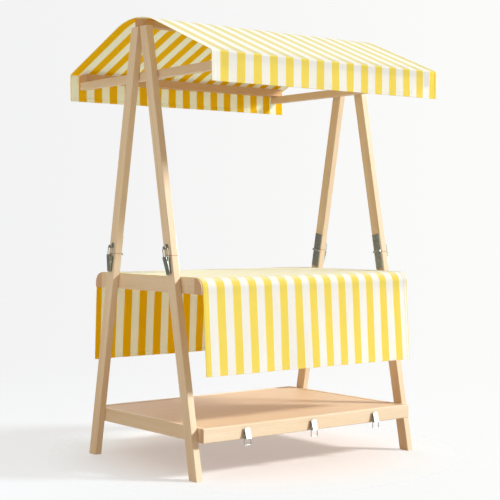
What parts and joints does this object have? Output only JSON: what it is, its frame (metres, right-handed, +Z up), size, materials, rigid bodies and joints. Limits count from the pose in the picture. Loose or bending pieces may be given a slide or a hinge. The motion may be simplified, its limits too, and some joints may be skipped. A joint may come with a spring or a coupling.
{
  "type": "wooden market stall",
  "caption": "Folding timber market stall with splayed legs, a cloth-covered counter, a low goods tray and a striped cloth gable roof with valances.",
  "frame": {"origin": "on the floor under the middle of the stall", "axes": "+Z up, +X along the stall to the right, front towards -Y"},
  "size_m": [1.38, 1.2086, 2.0996],
  "materials": {
    "wood": "satin planed softwood",
    "canopy": "matt woven cloth, yellow and white stripes",
    "counter_cloth": "matt woven cloth, yellow and white stripes",
    "zinc_steel": "bright zinc plated"
  },
  "bodies": {
    "root": {"front_left_lower_leg": "wood", "back_left_lower_leg": "wood", "front_right_lower_leg": "wood", "back_right_lower_leg": "wood", "front_left_upper_leg": "wood", "back_left_upper_leg": "wood", "front_right_upper_leg": "wood", "back_right_upper_leg": "wood", "left_hinges": "zinc_steel", "right_hinges": "zinc_steel", "ridge_beam": "wood", "left_crossbar": "wood", "right_crossbar": "wood", "front_eave_rail": "wood", "back_eave_rail": "wood", "canopy": "canopy", "left_counter_end": "wood", "right_counter_end": "wood", "counter_front_rail": "wood", "counter_back_rail": "wood", "counter_board": "wood", "counter_cloth": "counter_cloth", "tray_front_rail": "wood", "tray_back_rail": "wood", "tray_left_rail": "wood", "tray_right_rail": "wood", "tray_deck": "wood", "tray_battens": "wood", "leg_latch_plates": "zinc_steel", "tray_latch_plates": "zinc_steel"},
    "front_left_lever": {"front_left_lever": "zinc_steel"},
    "front_left_loop": {"front_left_loop": "zinc_steel"},
    "back_left_lever": {"back_left_lever": "zinc_steel"},
    "back_left_loop": {"back_left_loop": "zinc_steel"},
    "front_right_lever": {"front_right_lever": "zinc_steel"},
    "front_right_loop": {"front_right_loop": "zinc_steel"},
    "back_right_lever": {"back_right_lever": "zinc_steel"},
    "back_right_loop": {"back_right_loop": "zinc_steel"},
    "tray_left_lever": {"tray_left_lever": "zinc_steel"},
    "tray_left_loop": {"tray_left_loop": "zinc_steel"},
    "tray_middle_lever": {"tray_middle_lever": "zinc_steel"},
    "tray_middle_loop": {"tray_middle_loop": "zinc_steel"},
    "tray_right_lever": {"tray_right_lever": "zinc_steel"},
    "tray_right_loop": {"tray_right_loop": "zinc_steel"}
  },
  "joints": [
    {"name": "front_left_lever_swing", "type": "hinge", "parent": "root", "child": "front_left_lever", "pos_m": [-0.68, -0.242, 0.98523], "axis": [0, 0.982, -0.1891], "range_deg": [0, 90]},
    {"name": "front_left_loop_swing", "type": "hinge", "parent": "front_left_lever", "child": "front_left_loop", "pos_m": [-0.68, -0.24465, 0.97149], "axis": [0, 0.982, -0.1891], "range_deg": [-73, 2]},
    {"name": "back_left_lever_swing", "type": "hinge", "parent": "root", "child": "back_left_lever", "pos_m": [-0.68, 0.242, 0.98523], "axis": [0, 0.982, 0.1891], "range_deg": [0, 90]},
    {"name": "back_left_loop_swing", "type": "hinge", "parent": "back_left_lever", "child": "back_left_loop", "pos_m": [-0.68, 0.24465, 0.97149], "axis": [0, 0.982, 0.1891], "range_deg": [-73, 2]},
    {"name": "front_right_lever_swing", "type": "hinge", "parent": "root", "child": "front_right_lever", "pos_m": [0.68, -0.242, 0.98523], "axis": [0, -0.982, 0.1891], "range_deg": [0, 90]},
    {"name": "front_right_loop_swing", "type": "hinge", "parent": "front_right_lever", "child": "front_right_loop", "pos_m": [0.68, -0.24465, 0.97149], "axis": [0, -0.982, 0.1891], "range_deg": [-73, 2]},
    {"name": "back_right_lever_swing", "type": "hinge", "parent": "root", "child": "back_right_lever", "pos_m": [0.68, 0.242, 0.98523], "axis": [0, -0.982, -0.1891], "range_deg": [0, 90]},
    {"name": "back_right_loop_swing", "type": "hinge", "parent": "back_right_lever", "child": "back_right_loop", "pos_m": [0.68, 0.24465, 0.97149], "axis": [0, -0.982, -0.1891], "range_deg": [-73, 2]},
    {"name": "tray_left_lever_swing", "type": "hinge", "parent": "root", "child": "tray_left_lever", "pos_m": [-0.395, -0.478, 0.175], "axis": [1, 0, 0], "range_deg": [0, 90]},
    {"name": "tray_left_loop_swing", "type": "hinge", "parent": "tray_left_lever", "child": "tray_left_loop", "pos_m": [-0.395, -0.478, 0.189], "axis": [1, 0, 0], "range_deg": [-70, 2]},
    {"name": "tray_middle_lever_swing", "type": "hinge", "parent": "root", "child": "tray_middle_lever", "pos_m": [0, -0.478, 0.175], "axis": [1, 0, 0], "range_deg": [0, 90]},
    {"name": "tray_middle_loop_swing", "type": "hinge", "parent": "tray_middle_lever", "child": "tray_middle_loop", "pos_m": [0, -0.478, 0.189], "axis": [1, 0, 0], "range_deg": [-70, 2]},
    {"name": "tray_right_lever_swing", "type": "hinge", "parent": "root", "child": "tray_right_lever", "pos_m": [0.395, -0.478, 0.175], "axis": [1, 0, 0], "range_deg": [0, 90]},
    {"name": "tray_right_loop_swing", "type": "hinge", "parent": "tray_right_lever", "child": "tray_right_loop", "pos_m": [0.395, -0.478, 0.189], "axis": [1, 0, 0], "range_deg": [-70, 2]}
  ],
  "couplings": [
    {"joint": "front_left_loop_swing", "follows": "front_left_lever_swing", "ratio": -0.78},
    {"joint": "back_left_loop_swing", "follows": "back_left_lever_swing", "ratio": -0.78},
    {"joint": "front_right_loop_swing", "follows": "front_right_lever_swing", "ratio": -0.78},
    {"joint": "back_right_loop_swing", "follows": "back_right_lever_swing", "ratio": -0.78},
    {"joint": "tray_left_loop_swing", "follows": "tray_left_lever_swing", "ratio": -0.75},
    {"joint": "tray_middle_loop_swing", "follows": "tray_middle_lever_swing", "ratio": -0.75},
    {"joint": "tray_right_loop_swing", "follows": "tray_right_lever_swing", "ratio": -0.75}
  ]
}
